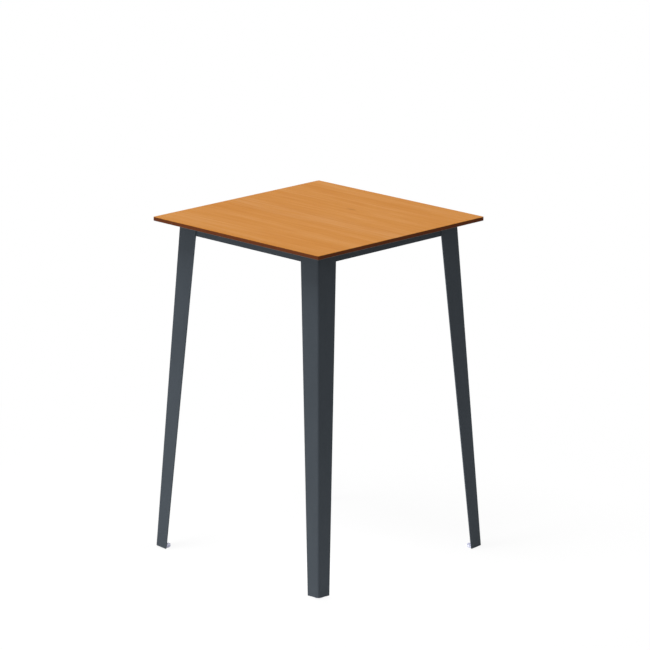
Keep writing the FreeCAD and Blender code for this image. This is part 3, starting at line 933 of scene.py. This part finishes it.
def seen_directly(builder):
    """1 for rays from the camera, a reflection or glass, and 0 for light that falls on things."""
    path = builder.add("ShaderNodeLightPath", output="Is Camera Ray")
    return (path + path.out("Is Glossy Ray") + path.out("Is Transmission Ray")).between(0, 1)


world = bpy.data.worlds.new("white_room")
world.use_nodes = True
world.node_tree.nodes.clear()
air = Builder(world.node_tree)
sky = air.add("ShaderNodeBackground", {}, {"Color": grey(1.0), "Strength": fill_level})
white = air.add("ShaderNodeBackground", {}, {"Color": grey(1.0), "Strength": 1.0})
seen = air.add("ShaderNodeMixShader", {}, {0: seen_directly(air), 1: sky, 2: white})
air.add("ShaderNodeOutputWorld", {}, {"Surface": seen})
bpy.context.scene.world = world
print("sky of strength", fill_level, "behind a white background")

# %% [markdown]
# The floor glows white to the camera and takes only a share of real light, so that a faint shadow stays
# near the table. Light that falls on the table sees it as pale paper near the table and dim paper further
# off. From below it lets the view through, so the underside can be looked at.

# %% Floor
shadow_share = 0.10
bounce_near = 0.60
bounce_far = 0.25
pale_radius = 0.8           # metres from the middle of the table
dim_radius = 1.9
floor_half = 30.0

floor_paper = bpy.data.materials.new("floor_paper")
floor_paper.use_nodes = True
floor_paper.node_tree.nodes.clear()
paper_nodes = Builder(floor_paper.node_tree)
glow = paper_nodes.add("ShaderNodeEmission", {}, {"Color": grey(1.0), "Strength": 1.0})
lit = paper_nodes.add("ShaderNodeBsdfDiffuse", {}, {"Color": grey(1.0)})
spot = paper_nodes.add("ShaderNodeTexCoord", output="Object")
far_out = paper_nodes.add("ShaderNodeVectorMath", {"operation": "LENGTH"}, {0: spot}, "Value")
nearby = far_out.step(dim_radius, pale_radius)
looked_at = paper_nodes.add("ShaderNodeMixShader", {}, {0: nearby * shadow_share, 1: glow, 2: lit})
paper_tone = paper_nodes.blend(nearby, grey(bounce_far), grey(bounce_near))
bounce = paper_nodes.add("ShaderNodeBsdfDiffuse", {}, {"Color": paper_tone})
above = paper_nodes.add("ShaderNodeMixShader", {}, {0: seen_directly(paper_nodes), 1: bounce, 2: looked_at})
below = paper_nodes.add("ShaderNodeBsdfTransparent")
under_floor = paper_nodes.add("ShaderNodeNewGeometry", output="Backfacing")
both = paper_nodes.add("ShaderNodeMixShader", {}, {0: under_floor, 1: above, 2: below})
paper_nodes.add("ShaderNodeOutputMaterial", {}, {"Surface": both})

floor_corners = [(x * floor_half, y * floor_half, 0) for x, y in ((-1, -1), (1, -1), (1, 1), (-1, 1))]
floor_mesh = bpy.data.meshes.new("floor")
floor_mesh.from_pydata(floor_corners, [], [(0, 1, 2, 3)])
floor_mesh.materials.append(floor_paper)
floor = shown("floor", floor_mesh)
print("floor of", 2 * floor_half, "m")

# %% [markdown]
# One large soft lamp hangs high before the table's front and lights its top. A weaker one at its front
# reaches the faces on the viewer's left, so they come out brighter than those on the right. One at the
# back left puts a thin light rim on the folds. Three small ones stand for light that a pale studio throws
# back: a low one makes the legs lighter towards their feet, and two under the board reach the inner faces
# and the glides.

# %% Lamps
def lamp(name, place, target, width, depth, power):
    """A soft rectangular lamp that the camera itself doesn't see."""
    light = bpy.data.lights.new(name, "AREA")
    light.shape = "RECTANGLE"
    light.size = width
    light.size_y = depth
    light.energy = power
    holder = bpy.data.objects.new(name, light)
    holder.location = place
    holder.rotation_euler = (Vector(target) - Vector(place)).to_track_quat("-Z", "Y").to_euler()
    holder.visible_camera = False
    bpy.context.scene.collection.objects.link(holder)


lamp("key_lamp", (-1.2, -6.0, 19.6), (0, 0, 0.6), 10.0, 10.0, 2620.0)
lamp("front_lamp", (-1.2, -6.0, 1.4), (0, 0, 0.6), 2.5, 1.6, 72.0)
lamp("back_lamp", (-3.6, 2.0, 0.5), (0, 0, 0.5), 2.0, 0.9, 30.0)
lamp("low_lamp", (-0.4, -1.5, 0.12), (-0.4, 0, 0.2), 1.4, 0.2, 2.4)
lamp("glide_lamp", (0.1, -0.25, 0.3), (0.33, 0.33, 0.01), 0.3, 0.3, 2.15)
lamp("under_lamp", (0, 0, 1.02), (0, 0, 0), 0.5, 0.5, 3.0)

# %% [markdown]
# The camera stands far off with a long lens, a little above the board and in line with a corner. Its
# place was worked out from the lines of the board and the legs, as an azimuth and a pitch round a
# point in the middle of the table, a distance, and two small shifts sideways and up.

# %% Camera
image_size = 650.0
focal_pixels = 3758.35
azimuth = math.radians(44.9719)
pitch_down = math.radians(14.9199)
distance = 11.38617
shift_right = 0.019297
shift_up = 0.197548
aim = Vector((0, 0, 0.498))

forward = Vector((-math.sin(azimuth) * math.cos(pitch_down), math.cos(azimuth) * math.cos(pitch_down),
                  -math.sin(pitch_down)))
right = Vector((math.cos(azimuth), math.sin(azimuth), 0))
upward = right.cross(forward)
camera = bpy.data.objects.new("camera", bpy.data.cameras.new("camera"))
camera.data.sensor_width = 36.0
camera.data.lens = focal_pixels / image_size * camera.data.sensor_width
camera.data.clip_end = 200.0
turn = Matrix((right, upward, -forward)).transposed().to_4x4()
stand = aim - forward * distance + right * shift_right + upward * shift_up
camera.matrix_world = Matrix.Translation(stand) @ turn
bpy.context.scene.collection.objects.link(camera)
bpy.context.scene.camera = camera
bpy.context.scene.view_settings.view_transform = "Standard"
print(f"camera {distance:.2f} m away with a lens of {camera.data.lens:.0f} mm")
